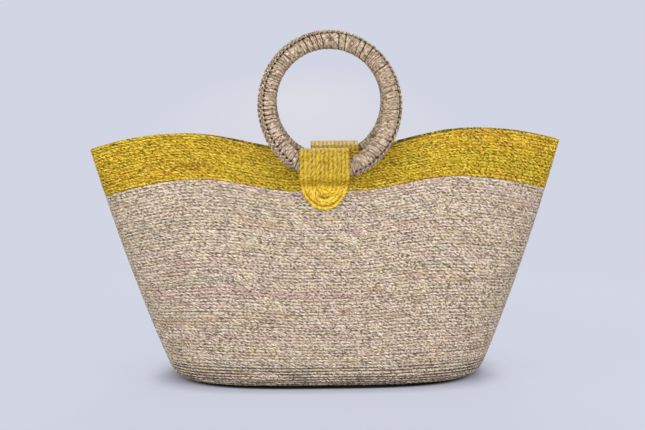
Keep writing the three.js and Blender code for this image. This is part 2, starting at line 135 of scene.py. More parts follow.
def add_piece(name, node, body, slot, finish, points, faces, places, painted_shades):
    """Puts points in mm, quads, their places on the braid map and the painted shade of their grooves into a
    mesh, welds points that meet, and lets the piece stand for its CAD node."""
    mesh = bpy.data.meshes.new(name)
    mesh.vertices.add(len(points))
    mesh.vertices.foreach_set("co", (points * MM).astype(np.float32).ravel())
    mesh.loops.add(faces.size)
    mesh.loops.foreach_set("vertex_index", faces.astype(np.int32).ravel())
    mesh.polygons.add(len(faces))
    mesh.polygons.foreach_set("loop_start", np.arange(0, faces.size, 4, dtype=np.int32))
    mesh.update(calc_edges=True)
    layer = mesh.uv_layers.new(name="braid")
    layer.data.foreach_set("uv", places.astype(np.float32).ravel())
    # The painted shade of grooves, holes and laps goes into a point attribute.
    groove = mesh.attributes.new("painted_shade", "FLOAT", "POINT")
    groove.data.foreach_set("value", painted_shades.astype(np.float32).ravel())
    welded = bmesh.new()
    welded.from_mesh(mesh)
    bmesh.ops.remove_doubles(welded, verts=welded.verts, dist=WELD)
    bmesh.ops.dissolve_degenerate(welded, edges=welded.edges, dist=WELD / 10)
    welded.to_mesh(mesh)
    welded.free()
    mesh.shade_smooth()
    mesh.materials.append(finish)
    piece = bpy.data.objects.new(name, mesh)
    bpy.context.scene.collection.objects.link(piece)
    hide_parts(node)
    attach(piece, body)


def linear(colour):
    """Linear RGBA of an sRGB hex colour: channels below 0.04045 over 12.92, the rest by the 2.4 power."""
    channels = np.array([int(colour[k : k + 2], 16) for k in (1, 3, 5)]) / 255
    bright = np.where(channels < 0.04045, channels / 12.92, ((channels + 0.055) / 1.055) ** 2.4)
    return (*bright.tolist(), 1.0)


def add_node(tree, kind, inputs, **settings):
    """Adds one shader node, sets its properties, and links or fills the inputs that are named. A node that
    is given for an input stands for its first output."""
    made = tree.nodes.new("ShaderNode" + kind)
    for name, value in settings.items():
        setattr(made, name, value)
    for socket, value in inputs.items():
        if isinstance(value, bpy.types.Node):
            tree.links.new(value.outputs[0], made.inputs[socket])
        elif isinstance(value, bpy.types.NodeSocket):
            tree.links.new(value, made.inputs[socket])
        else:
            made.inputs[socket].default_value = value
    return made


def palm_leaf(name, tones, hues, streak, shade, unit, leaf, roughness):
    """Dried palm leaf, split into narrow strips and plaited or wound. Each strip has its own tone, runs of a
    few strips share a hue, some runs are stained, fibres lie along each strip, and the grooves and holes
    between them are dark with painted shade from the mesh. The unit is the size in mm of one step of the
    braid map, and leaf the size in mm of one strip where it shows."""
    finish = bpy.data.materials.new(name)
    finish.use_nodes = True
    tree = finish.node_tree
    tree.nodes.clear()
    place = add_node(tree, "UVMap", {}, uv_map="braid")
    fine = add_node(
        tree, "VectorMath", {0: place, 1: (unit[0] / leaf[0], unit[1] / leaf[1], 0)}, operation="MULTIPLY"
    )
    strip = add_node(tree, "VectorMath", {0: fine}, operation="FLOOR")
    strand = add_node(tree, "VectorMath", {0: place}, operation="FLOOR")
    own = add_node(tree, "TexWhiteNoise", {"Vector": strip}, noise_dimensions="2D")
    # Sizes in mm along and across a course, and detail. Runs and stains are far narrower than a course, so
    # each course has its own. Fibres of a tenth of a millimetre wouldn't show, so they are drawn as coarse
    # as half a strip.
    clouds = {}
    cloud_sizes = [
        ("run", strand, 14, 0.43, 1.0),
        ("band", strand, 480, 15, 2.0),
        ("stain", strand, 90, 0.41, 2.0),
        ("fibre", place, leaf[0] / 2, leaf[1] * 1.5, 2.0),
        ("fleck", place, leaf[0] * 0.7, leaf[1] * 0.8, 1.0),
    ]
    for cloud, source, across, high, detail in cloud_sizes:
        stretched = add_node(
            tree, "VectorMath",
            {0: source, 1: (unit[0] / across, unit[1] / high, 0)},
            operation="MULTIPLY",
        )
        clouds[cloud] = add_node(
            tree, "TexNoise",
            {"Vector": stretched, "Scale": 1.0, "Detail": detail, "Roughness": 0.6},
            noise_dimensions="2D",
        )
    both_hues = add_node(tree, "Math", {0: clouds["run"], 1: clouds["band"]}, operation="ADD")
    hue_place = add_node(tree, "MapRange", {"Value": both_hues, "From Min": 0.7, "From Max": 1.3})
    layers = []
    for value, colours in ((own.outputs["Value"], tones), (hue_place, hues)):
        ramp = add_node(tree, "ValToRGB", {0: value})
        stops = ramp.color_ramp.elements
        stops[1].color = linear(colours[-1])
        for k, colour in enumerate(colours[:-1]):
            stop = stops[0] if k == 0 else stops.new(k / (len(colours) - 1))
            stop.color = linear(colour)
        layers.append(ramp)
    hued = add_node(
        tree, "Mix", {0: 1.0, 6: layers[0], 7: layers[1]}, data_type="RGBA", blend_type="MULTIPLY"
    )
    stained = add_node(
        tree, "MapRange", {"Value": clouds["stain"], "From Min": 0.6, "From Max": 0.76, "To Max": 0.45}
    )
    streaked = add_node(
        tree, "Mix", {0: stained, 6: hued.outputs[2], 7: linear(streak)}, data_type="RGBA"
    )
    lighter = add_node(
        tree, "MapRange",
        {"Value": clouds["fibre"], "From Min": 0.3, "From Max": 0.7, "To Min": 0.66, "To Max": 1.28},
    )
    grained = add_node(
        tree, "Mix", {0: 1.0, 6: streaked.outputs[2], 7: lighter}, data_type="RGBA", blend_type="MULTIPLY"
    )
    fleck = add_node(
        tree, "MapRange", {"Value": clouds["fleck"], "From Min": 0.62, "From Max": 0.72, "To Max": 0.7}
    )
    # Painted shade from the mesh, or a dark fleck of the leaf where that is darker, mixes in the shade
    # colour.
    groove = add_node(tree, "Attribute", {}, attribute_name="painted_shade")
    darker = add_node(tree, "Math", {0: groove.outputs["Fac"], 1: fleck}, operation="MAXIMUM")
    shaded = add_node(tree, "Mix", {0: darker, 6: grained.outputs[2], 7: linear(shade)}, data_type="RGBA")
    rough = add_node(
        tree, "MapRange",
        {"Value": clouds["fibre"], "To Min": roughness - 0.12, "To Max": roughness + 0.12},
    )
    bump = add_node(tree, "Bump", {"Strength": 0.6, "Distance": 0.0002, "Height": clouds["fibre"]})
    leaf_shader = add_node(
        tree, "BsdfPrincipled",
        {
            "Base Color": shaded.outputs[2],
            "Roughness": rough,
            "Normal": bump,
            "IOR": 1.42,
            "Specular IOR Level": 0.25,
        },
    )
    add_node(tree, "OutputMaterial", {"Surface": leaf_shader})
    return finish


# Sun-dried leaf, left undyed: matt straw tones that jump from strip to strip, drift from cream to a faint
# pink or green along a braid, and have brown stains, with nearly black painted shade in the holes.
natural_palm = palm_leaf(
    "natural palm leaf, plaited and sewn",
    ["#4a4137", "#a19488", "#d6ccbf", "#e9dfd3", "#f9f4ea"],
    ["#eed9d1", "#f9ebe2", "#f5eade", "#f8ecd2", "#ebe7da", "#f1e4de"],
    "#b78d63",
    "#2e2319",
    (STRAND_PITCH, COURSE_PITCH),
    (STRAND_PITCH / 4.5, COURSE_PITCH / 4),
    0.66,
)

floor_half_length = BASE_HALF_LENGTH - HEEL_RADIUS - SEAM_GAP
floor_half_depth = BASE_HALF_DEPTH - HEEL_RADIUS - SEAM_GAP
base_courses = round(floor_half_depth / COURSE_PITCH)


def base_coil():
    """Each course is the outline drawn in by its share of the way to a straight line in the middle. The
    underside runs out from that line, and the upper side back to it with half the rows, and both have the
    braid's relief. On the line itself the groove has one depth, so that its two sides meet."""
    below = np.append((np.arange(base_courses)[:, None] + COURSE_CUTS).ravel(), base_courses)
    course = np.concatenate([below, below[::-2]])[:, None]
    under = (np.arange(len(course)) < len(below))[:, None]
    share = np.arange(BASE_COLUMNS)[None, :] / BASE_COLUMNS
    x, y, length = plan_direction(share, floor_half_length, floor_half_depth)
    out = course / base_courses
    line = floor_half_length - floor_half_depth
    inner_length = 4 * line
    row = np.minimum(np.floor(course), base_courses - 1)
    row_length = inner_length + (length - inner_length) * (row + 0.5) / base_courses
    strand = share * np.round(row_length / STRAND_PITCH) + LEAN * course
    drop, painted_shade = braid_relief(strand, course)
    drop = np.where(course == 0, COURSE_DROP, drop)
    height = np.where(under, drop, WALL_THICKNESS - drop)
    far_out = line * (1 - out) + floor_half_length * out
    points = np.stack([far_out * x, floor_half_depth * out * y, height], -1)
    faces, corner_row, corner_column = grid_faces(len(course), BASE_COLUMNS)
    corner_course = course[corner_row, 0]
    face_row = np.floor(corner_course.min(1, keepdims=True))
    face_length = inner_length + (length - inner_length) * (face_row + 0.5) / base_courses
    corner_strand = corner_column / BASE_COLUMNS * np.round(face_length / STRAND_PITCH)
    places = np.stack([corner_strand + LEAN * corner_course, corner_course + BASE_MAP_ROW], -1)
    return points.reshape(-1, 3), faces, places, np.broadcast_to(painted_shade, height.shape)


add_piece("base_coil_braid", "base_coil", "bag", "natural_palm", natural_palm, *base_coil())


# Natural wall
# One long braid coiled up from the heel, course on course, and sewn through at every course. It is undyed
# palm, spliced from five lengths, and every length is a piece.
RIM_HALF_LENGTH = 242
RIM_HALF_DEPTH = 20
RIM_HEIGHT = 234
SHOULDER_RISE = 19.5
SHOULDER_AT = 0.62  # share of the half length
CLIMB_POWER = 1.5
CORNER_RISE = 5
CORNER_SKEW = 3  # how much higher the right corner is than the mean, and the left one lower
REAR_DROP = 3.5
COURSE_BOW = 9
BOW_FADE = 1.3
FLARE_POWER = 0.88
PINCH_POWER = 3
COURSES = 80
WALL_LENGTHS = 5
COURSES_PER_LENGTH = 13
TAB_WIDTH = 50
TAB_OFFSET = 5.8
HANDLE_SHIFT = {"front": 4.3, "rear": 4.4}
STRAND_CUTS = 6
CREST = 0.3  # how far the crests stand out from the wall's outer face
INNER_CREST = 0.25  # and from its inner face
INNER_RELIEF = 0.6  # the inner relief's share of the outer one
LINE_WANDER = 0.35  # how far a course line may stray
NORMAL_STEP = 0.4  # distance to the neighbours that give the wall's normal
GAPING_COURSES = 10  # the lowest courses, where the grooves gape and their painted shade is darker
GAPE = 1.1  # how much deeper their grooves are
GAPE_RUN = 5  # strands that gape or stay closed together
GAPE_CLOSED = 0.3  # share of such runs that stays closed

slant = COURSES * COURSE_PITCH
heel_length = np.pi / 2 * HEEL_RADIUS
level_share = (TAB_WIDTH / 2 + TAB_OFFSET + max(HANDLE_SHIFT.values())) / RIM_HALF_LENGTH


def wall_sizes(up):
    """Half length, half depth, height and straight share of the wall at a distance up it from the floor. The
    heel is a quarter round. Above it the ends flare by a power of the height, and the sides pinch by
    another."""
    turned = np.minimum(up / HEEL_RADIUS, np.pi / 2)
    inset = HEEL_RADIUS * (1 - np.sin(turned))
    straight = np.maximum(up - heel_length, 0) / (slant - heel_length)
    height = HEEL_RADIUS * (1 - np.cos(turned)) + (RIM_HEIGHT - HEEL_RADIUS) * straight
    share = height / RIM_HEIGHT
    half_length = BASE_HALF_LENGTH + (RIM_HALF_LENGTH - BASE_HALF_LENGTH) * share**FLARE_POWER - inset
    half_depth = RIM_HALF_DEPTH + (BASE_HALF_DEPTH - RIM_HALF_DEPTH) * (1 - share**PINCH_POWER) - inset
    return half_length, half_depth, height, straight


def wall_point(x, y, up):
    """Point of the wall's outer face, in a direction of the plan and at a distance up the wall. The rim is
    level across the tabs, climbs to a shoulder by a power of a sine, lower at the rear, and falls to the
    corners by a square. The courses between follow it by their share of the height, and bow up in the
    middle of each long side by a cubic that is highest at two thirds of the height, where it is 4/27 of
    its factor."""
    half_length, half_depth, height, straight = wall_sizes(up)
    aside = np.minimum(np.abs(x), 1)
    climb = np.clip((aside - level_share) / (SHOULDER_AT - level_share), 0, 1)
    fall = np.maximum(aside - SHOULDER_AT, 0) / (1 - SHOULDER_AT)
    wave = SHOULDER_RISE * np.sin(climb * np.pi / 2) ** CLIMB_POWER
    wave = wave - (SHOULDER_RISE - CORNER_RISE) * fall**2 + CORNER_SKEW * x * aside
    wave = wave - REAR_DROP / 4 * (1 - x) * y * np.sin(climb * np.pi / 2) ** CLIMB_POWER
    bow = COURSE_BOW * 27 / 4 * straight**2 * (1 - straight) * (1 - BOW_FADE * x**2)
    return np.stack([half_length * x, half_depth * y, height + straight * wave + bow], -1)


def unit_vectors(vectors):
    """Vectors divided by their lengths."""
    return vectors / np.linalg.norm(vectors, axis=-1, keepdims=True)


def course_up(share, level):
    """Distance up the wall of a course line. Hand sewing makes the lines wander by a few slow waves, and
    makes courses wider or narrower by up to about a tenth."""
    row = np.floor(level)
    part = level - row
    uneven = LINE_WANDER * ((1 - part) * chance(row, 1, 4) + part * chance(row + 1, 1, 4) - 0.5)
    round_angle = 2 * np.pi * share
    wander = np.sin(5 * round_angle + 0.6 * level) * np.sin(3 * round_angle - 0.37 * level + 1)
    fixed = np.clip(level / 2, 0, 1) * np.clip((COURSES - level) / 2, 0, 1)
    return COURSE_PITCH * level + fixed * (uneven + LINE_WANDER * wander)


def course_band(first, last):
    """A closed band of courses. Points run up the outer face and down the inner one, along columns that lean
    with the strands. Each point is a wall point moved by the braid's relief along the wall's normal, which
    is the cross product of the steps between its neighbours along and up the wall. The crests on the floor
    are pressed flat."""
    outer = np.append((np.arange(first, last)[:, None] + COURSE_CUTS).ravel(), last)
    inner = np.append((np.arange(first, last)[:, None] + COURSE_CUTS[::2]).ravel(), last)[::-1]
    level = np.concatenate([outer, inner])[:, None]
    outside = (np.arange(len(level)) < len(outer))[:, None]
    half_length, half_depth, _, _ = wall_sizes((first + last) / 2 * COURSE_PITCH)
    _, _, length = plan_direction(np.zeros(1), half_length, half_depth)
    strands = round(length / STRAND_PITCH)
    columns = strands * STRAND_CUTS
    column = np.arange(columns)[None, :]
    share = (column / STRAND_CUTS - LEAN * level) / strands

    def surface(moved, raised):
        x, y, _ = plan_direction(share + moved / length, half_length, half_depth)
        return wall_point(x, y, course_up(share, level) + raised)

    along = surface(NORMAL_STEP, 0) - surface(-NORMAL_STEP, 0)
    upwards = surface(0, NORMAL_STEP) - surface(0, -NORMAL_STEP)
    normal = unit_vectors(np.cross(along, upwards))
    row = np.minimum(np.floor(level), last - 1)
    slip = np.floor(chance(row, 2, 5) * STRAND_CUTS)
    strand = (column + slip) / STRAND_CUTS
    low_down = np.clip(1 - row / GAPING_COURSES, 0, 1) ** 0.5
    deep = 1 + GAPE * low_down * (chance(np.floor(strand / GAPE_RUN), row, 6) > GAPE_CLOSED)
    drop, painted_shade = braid_relief(strand, level, deep)
    height = np.where(outside, CREST - drop, INNER_RELIEF * drop - WALL_THICKNESS - INNER_CREST)
    points = surface(0, 0) + normal * height[..., None]
    points[..., 2] = np.maximum(points[..., 2], 0)
    faces, corner_row, corner_column = grid_faces(len(level), columns, rows_joined=True)
    corner_level = level[np.mod(corner_row, len(level)), 0]
    face_row = np.minimum(np.floor(corner_level.min(1)), last - 1)
    corner_slip = np.floor(chance(face_row, 2, 5) * STRAND_CUTS)[:, None]
    places = np.stack([(corner_column + corner_slip) / STRAND_CUTS, corner_level], -1)
    return points.reshape(-1, 3), faces, places, painted_shade


for k in range(WALL_LENGTHS):
    first = k * COURSES_PER_LENGTH
    band = course_band(first, first + COURSES_PER_LENGTH)
    name = f"natural_braid_length_{k + 1}"
    add_piece(name, f"wall_braid_{k + 1}", "bag", "natural_palm", natural_palm, *band)


# Dyed band and rim
# The courses under the rim are the same braid, dyed yellow before plaiting, so its strips took the dye
# unevenly. The last course is sewn along the edge and closes the rim.
DYED_FROM = WALL_LENGTHS * COURSES_PER_LENGTH
RIM_FROM = COURSES - 1

# Dye sinks unevenly into dried leaf: the strips go from dark olive to lemon, and the braid stays matt.
dyed_palm = palm_leaf(
    "palm leaf dyed yellow, plaited and sewn",
    ["#4a3a05", "#9d810b", "#cdab1c", "#e2c332", "#fbe774"],
    ["#f4dfc0", "#fff2d2", "#f6f3c4", "#fdf0c0", "#e8eec0"],
    "#9a6f12",
    "#2c2004",
    (STRAND_PITCH, COURSE_PITCH),
    (STRAND_PITCH / 4.5, COURSE_PITCH / 4),
    0.62,
)

dyed_bands = [
    ("dyed_braid_band", "dyed_band_braid", DYED_FROM, RIM_FROM),
    ("dyed_braid_rim", "rim_braid", RIM_FROM, COURSES),
]
for name, node, first, last in dyed_bands:
    add_piece(name, node, "bag", "dyed_palm", dyed_palm, *course_band(first, last))


# Handle tabs
# Each tab is a strip of dyed braid coiled round its own middle line, like a flat oval mat. It is folded round
# the ring and over the rim, and its round ends are sewn to the wall outside and inside.
TAB_THICKNESS = 2.6
TAB_GAP = 0.4
TAB_COURSES = 6
TAB_TAPER = 0.14  # share of the width that a tab loses towards its end outside
STITCH_INSET = 4
HINGE_OUT = 49.31  # the rings' hinge lines, from the middle of the bag
HINGE_HEIGHT = 221.59
LOOP_RADIUS = 14.81
SEAM_DROP = 16
OUTER_LEG = 26
SEAM_BEND = 8
INNER_LEG = 48
TAB_LINE_STEPS = 800
SLICE_STEP = 0.5  # between the wall's points on the tab's middle line
TAB_SIDE_COLUMNS = 150
TAB_END_COLUMNS = 96
TAB_MAP_ROW = 200
TAB_CREST = 0.3  # how far the crests stand out from the tab's face
TAB_GROOVE = 0.6  # painted shade in its grooves, as a share of the wall's
TAB_INNER_RELIEF = 0.5  # the hidden face's relief, as a share of the showing one's
TAB_EDGE = 0.2  # share of the last course over which the tab thins to its edge
TAB_THINNED = 0.6  # share of the thickness that is lost there
GAPING_SEAMS = (3, 5)  # counted in courses from the middle line
SEAM_GAPE = 0.45  # how much deeper they are, with darker painted shade
FOLD_SHADE = 0.34  # painted shade that darkens the fold, at its most
FOLD_SHADE_FROM = 1.6 * OUTER_LEG
FOLD_SHADE_OVER = 12

# The same dyed leaf in broader strips and a coarser plait: calmer tones, with the slant of the strands plain
# to see, and painted shade that darkens the fold.
coiled_palm = palm_leaf(
    "palm leaf dyed yellow, coiled and folded",
    ["#b69624", "#dfbc38", "#edcd47", "#f1d352", "#f4de6e"],
    ["#f9ebcb", "#fff3d6", "#f8f2cc", "#fdf1cb", "#f1efca"],
    "#9a6f12",
    "#2c2004",
    (STRAND_PITCH, COURSE_PITCH),
    (STRAND_PITCH / 3, COURSE_PITCH / 2),
    0.66,
)


def tab_line():
    """Middle line of the tab as points (y, z) with their distances along it: up the outside of the wall, off
    it in a bend below the rod, round the front and top of the rod, over the rim, and down the inside. The
    straight stretches are tangents of the rounds, and the bend is a quadratic curve with its handle at the
    seam."""
    hinge = np.array([-HINGE_OUT, HINGE_HEIGHT])
    off_wall = TAB_GAP + TAB_THICKNESS / 2
    radius = LOOP_RADIUS + TAB_THICKNESS / 2

    def slice_at(up, off):
        centre = wall_point(0.0 * up, -1.0 + 0.0 * up, up)[..., 1:]
        rise = unit_vectors(wall_point(0.0 * up, -1.0 + 0.0 * up, up + SLICE_STEP)[..., 1:] - centre)
        normal = np.stack([-rise[..., 1], rise[..., 0]], -1)
        return centre + normal * off, normal

    def turn(centre, size, start, stop):
        angle = np.linspace(start, stop, 60)
        return centre + size * np.stack([np.cos(angle), np.sin(angle)], -1)

    up = np.arange(heel_length, slant, SLICE_STEP)
    wall, _ = slice_at(up, 0)
    seam_up = up[np.argmin(np.linalg.norm(wall - hinge, axis=1))] - SEAM_DROP
    seam, _ = slice_at(np.array(seam_up), off_wall)
    from_hinge = seam - hinge
    reach = np.linalg.norm(from_hinge)
    leave = np.mod(np.arctan2(from_hinge[1], from_hinge[0]), 2 * np.pi) - np.arccos(radius / reach)
    rim, rim_normal = slice_at(np.array(slant - WALL_THICKNESS / 2), -WALL_THICKNESS / 2)
    rim_radius = WALL_THICKNESS / np.sqrt(2) + off_wall
    to_rim = rim - hinge
    cross = np.arctan2(to_rim[1], to_rim[0]) + np.arccos((radius - rim_radius) / np.linalg.norm(to_rim))
    down = np.arctan2(-rim_normal[1], -rim_normal[0])
    rod_side = hinge + radius * np.array([np.cos(leave), np.sin(leave)])
    bend_end = seam + unit_vectors(rod_side - seam) * SEAM_BEND
    leg, _ = slice_at(seam_up - np.linspace(OUTER_LEG, SEAM_BEND, 30), off_wall)
    t = np.linspace(0, 1, 20)[1:, None]
    bend = (1 - t) ** 2 * leg[-1] + 2 * t * (1 - t) * seam + t**2 * bend_end
    inside, _ = slice_at(slant - np.linspace(0.1, 1, 40) * INNER_LEG, -WALL_THICKNESS - off_wall)
    round_rod = turn(hinge, radius, leave, cross)
    over_rim = turn(rim, rim_radius, cross, down)
    line = np.concatenate([leg, bend, round_rod, over_rim, inside])
    walked = np.concatenate([[0], np.cumsum(np.linalg.norm(np.diff(line, axis=0), axis=1))])
    even = np.linspace(0, walked[-1], TAB_LINE_STEPS)
    return np.stack([np.interp(even, walked, line[:, k]) for k in (0, 1)], -1), even


tab_middle, tab_walked = tab_line()
tab_length = tab_walked[-1]
tab_tangent = unit_vectors(np.gradient(tab_middle, tab_walked, axis=0))


def tab_surface(along, across, height):
    """Place on the tab from its flat coordinates: the middle line's point at that distance, moved by the
    height along the line's normal, and across by x, which is narrowed towards the outer end by a smooth
    step."""
    step = np.clip((along - STITCH_INSET) / (1.5 * OUTER_LEG - STITCH_INSET), 0, 1)
    across = across * (1 - TAB_TAPER * (1 - step**2 * (3 - 2 * step)))
    spot = [np.interp(along, tab_walked, tab_middle[:, k]) for k in (0, 1)]
    tangent = [np.interp(along, tab_walked, tab_tangent[:, k]) for k in (0, 1)]
    return np.stack([across - TAB_OFFSET, spot[0] - tangent[1] * height, spot[1] + tangent[0] * height], -1)


def handle_place(points, side):
    """Puts a handle's points on its side of the bag: the rear ones are turned half round."""
    turned = points * (np.array([-1, -1, 1]) if side == "rear" else 1)
    return turned + np.array([HANDLE_SHIFT[side], 0, 0])


def tab_mat():
    """Courses lie at even distances from the middle line of a long oval: two straight sides and two half
    rounds. The showing face runs out from that line, and the hidden face back to it. On the line the groove
    has one depth, so that its sides meet. Two seams gape a little where they turn round the outer end, with
    darker painted shade."""
    half = TAB_WIDTH / 2
    level = np.append((np.arange(TAB_COURSES)[:, None] + COURSE_CUTS).ravel(), TAB_COURSES)
    course = np.concatenate([level, level[::-1]])[:, None]
    showing = (np.arange(len(course)) < len(level))[:, None]
    out = course / TAB_COURSES * half
    straight = np.arange(TAB_SIDE_COLUMNS) / TAB_SIDE_COLUMNS
    bend = np.arange(TAB_END_COLUMNS) / TAB_END_COLUMNS
    none = np.zeros(TAB_SIDE_COLUMNS)
    angle = np.concatenate([none, bend, none + 1, 1 + bend]) * np.pi
    run = np.concatenate([straight, bend * 0 + 1, 1 - straight, bend * 0])
    side_length = tab_length - TAB_WIDTH
    across = -out * np.cos(angle)
    along = half + side_length * run + out * np.sin(angle)
    row = np.minimum(np.floor(course), TAB_COURSES - 1)
    passed = np.concatenate([straight, bend * 0 + 1, 1 + straight, bend * 0 + 2])
    turned = np.concatenate([none, bend, none + 1, 1 + bend])

    def strand_at(in_row, at_course, sides_passed, ends_turned):
        bend_length = np.pi * (in_row + 0.5) / TAB_COURSES * half
        round_length = 2 * (side_length + bend_length)
        walked = side_length * sides_passed + bend_length * ends_turned
        return walked / round_length * np.round(round_length / STRAND_PITCH) + LEAN * at_course

    near_end = np.clip(-4 * np.sin(angle) - 3, 0, 1)
    deep = 1 + SEAM_GAPE * near_end * np.isin(np.round(course), GAPING_SEAMS)
    drop, painted_shade = braid_relief(strand_at(row, course, passed, turned), course, deep)
    drop = np.where(course == 0, COURSE_DROP, drop)
    hidden = -TAB_THICKNESS / 2 + TAB_INNER_RELIEF * drop
    height = np.where(showing, TAB_THICKNESS / 2 + TAB_CREST - drop, hidden)
    edge = np.clip(course - TAB_COURSES + TAB_EDGE, 0, 1) / TAB_EDGE
    height = height * (1 - TAB_THINNED * edge)
    # Painted shade on the fold, fading in over a short stretch and kept from there to the tab's inner end.
    fold_shade = FOLD_SHADE * np.clip((along - FOLD_SHADE_FROM) / FOLD_SHADE_OVER, 0, 1)
    painted_shade = np.clip(TAB_GROOVE * deep * painted_shade + fold_shade, 0, 1)
    points = tab_surface(along, across, height)
    faces, corner_row, corner_column = grid_faces(len(course), len(angle))
    corner_course = course[corner_row, 0]
    face_row = np.floor(corner_course.min(1, keepdims=True))
    wide_passed = np.append(passed, 2)[corner_column]
    wide_turned = np.append(turned, 2)[corner_column]
    corner_strand = strand_at(face_row, corner_course, wide_passed, wide_turned)
    places = np.stack([corner_strand, corner_course + TAB_MAP_ROW], -1)
    return points.reshape(-1, 3), faces, places, painted_shade


tab_points, *tab_weave = tab_mat()
for side in ("front", "rear"):
    placed = handle_place(tab_points, side)
    add_piece(f"{side}_tab_mat", f"{side}_tab", "bag", "dyed_palm", coiled_palm, placed, *tab_weave)


# Tab stitching
# Waxed thread holds each tab to the wall in a running stitch round its ends, outside and inside. The thread
# dips into the braid between the stitches, where it is painted darker as shade.
THREAD_RADIUS = 0.6
THREAD_LIFT = 0.45  # the thread's middle over the tab's face, where its wave is nought
THREAD_DIP = 0.7  # how far the wave lifts it from there on a stitch
THREAD_UNDER = 0.6  # how far it sinks between stitches, as a share of that
STITCH_PITCH = 5
THREAD_STEP = 0.6
THREAD_MAP_STEP = 0.12
THREAD_SIDES = 8

# Thread laid up from leaf fibre and waxed, so it has the leaf's fibres in finer strips, even tones and a
# slight gloss.
sewing_thread = palm_leaf(
    "waxed sewing thread",
    ["#a8842a", "#bd9834", "#c9a53f"],
    ["#fff0cf", "#fff6de"],
    "#8f6f22",
    "#4a3408",
    (5, 3.8),
    (1.5, 1),
    0.55,
)


def sweep(path, above, radius, sides):
    """A closed tube: round each point of a path a circle that is square to the path, and drawn in to a point
    at both ends. Its first direction is square to the path and to a direction above it, and its second one
    to the path and the first."""
    onward = unit_vectors(np.gradient(path, axis=0))
    side_way = unit_vectors(np.cross(above, onward))
    up_way = np.cross(onward, side_way)
    angle = np.arange(sides) / sides * 2 * np.pi
    ends = np.ones(len(path))
    ends[[0, -1]] = 0
    ends[[1, -2]] = 0.75
    across = (ends * radius)[:, None, None] * np.cos(angle)[None, :, None] * side_way[:, None, :]
    rise = (ends * radius)[:, None, None] * np.sin(angle)[None, :, None] * up_way[:, None, :]
    return path[:, None, :] + across + rise


def stitch_run(end):
    """The thread's path is an arc inset from the tab's round end, with straight sides where the leg is long.
    Its height is a wave that is above the braid on the stitches, and below it between them."""
    radius = TAB_WIDTH / 2 - STITCH_INSET
    centre = TAB_WIDTH / 2
    reach = OUTER_LEG - SEAM_BEND if end == "outer" else INNER_LEG - 2 * SEAM_BEND
    start = np.arcsin((centre - reach) / radius) if reach < centre else 0
    angle = np.linspace(start, np.pi - start, 200)
    along = centre - radius * np.sin(angle)
    across = -radius * np.cos(angle)
    if reach > centre:
        leg = np.linspace(0, 1, 60)[:-1]
        down = reach + (centre - reach) * leg
        back = centre + (reach - centre) * (1 - leg[::-1])
        along = np.concatenate([down, along, back])
        across = np.concatenate([-radius + 0 * leg, across, radius + 0 * leg])
    steps = np.hypot(np.diff(along), np.diff(across))
    walked = np.concatenate([[0], np.cumsum(steps)])
    even = np.linspace(0, walked[-1], round(walked[-1] / THREAD_STEP))
    along = np.interp(even, walked, along)
    across = np.interp(even, walked, across)
    if end == "inner":
        along = tab_length - along
        across = -across
    stitches = round(even[-1] / STITCH_PITCH)
    wave = (1 + THREAD_UNDER) * np.sin(np.pi * even / even[-1] * stitches) ** 2 - THREAD_UNDER
    height = TAB_THICKNESS / 2 + THREAD_LIFT + THREAD_DIP * wave
    path = tab_surface(along, across, height)
    above = tab_surface(along, across, height + 1) - path
    points = sweep(path, above, THREAD_RADIUS, THREAD_SIDES)
    faces, corner_row, corner_column = grid_faces(len(path), THREAD_SIDES)
    places = np.stack([corner_row * THREAD_MAP_STEP, corner_column / THREAD_SIDES], -1)
    # Painted shade where the thread sinks below the braid's face.
    painted_shade = np.broadcast_to(np.clip(-wave, 0, 1)[:, None], points.shape[:2])
    return points.reshape(-1, 3), faces, places, painted_shade


for side in ("front", "rear"):
    for end in ("outer", "inner"):
        thread_points, *thread_lay = stitch_run(end)
        placed = handle_place(thread_points, side)
        name = f"{side}_tab_{end}_stitches"
        node = f"{side}_tab_{end}_stitching"
        add_piece(name, node, "bag", "sewing_thread", sewing_thread, placed, *thread_lay)


# Ring cores
# Each ring is a cane rod, bent to a hoop a little taller than wide and joined end to end. The wrap hides all
# of it, so the CAD rod stays as it is and only takes the finish of bare cane.
CANE_MOTTLES = 900  # in a metre, so each is a little over 1 mm

# Bare cane is a tan wood without gloss, mottled by its open pores. They are drawn coarser than real ones.
cane = bpy.data.materials.new("bent cane, bare")
cane.use_nodes = True
cane_tree = cane.node_tree
cane_tree.nodes.clear()
cane_place = add_node(cane_tree, "TexCoord", {})
cane_grain = add_node(
    cane_tree, "TexNoise", {"Vector": cane_place.outputs["Object"], "Scale": CANE_MOTTLES, "Detail": 2.0}
)
cane_colour = add_node(
    cane_tree, "Mix", {0: cane_grain, 6: linear("#7d6443"), 7: linear("#b59a70")}, data_type="RGBA"
)
cane_shader = add_node(
    cane_tree, "BsdfPrincipled", {"Base Color": cane_colour.outputs[2], "Roughness": 0.6, "IOR": 1.5}
)
add_node(cane_tree, "OutputMaterial", {"Surface": cane_shader})
for side in ("front", "rear"):
    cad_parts[f"{side}_ring_core"].material_slots[0].material = cane


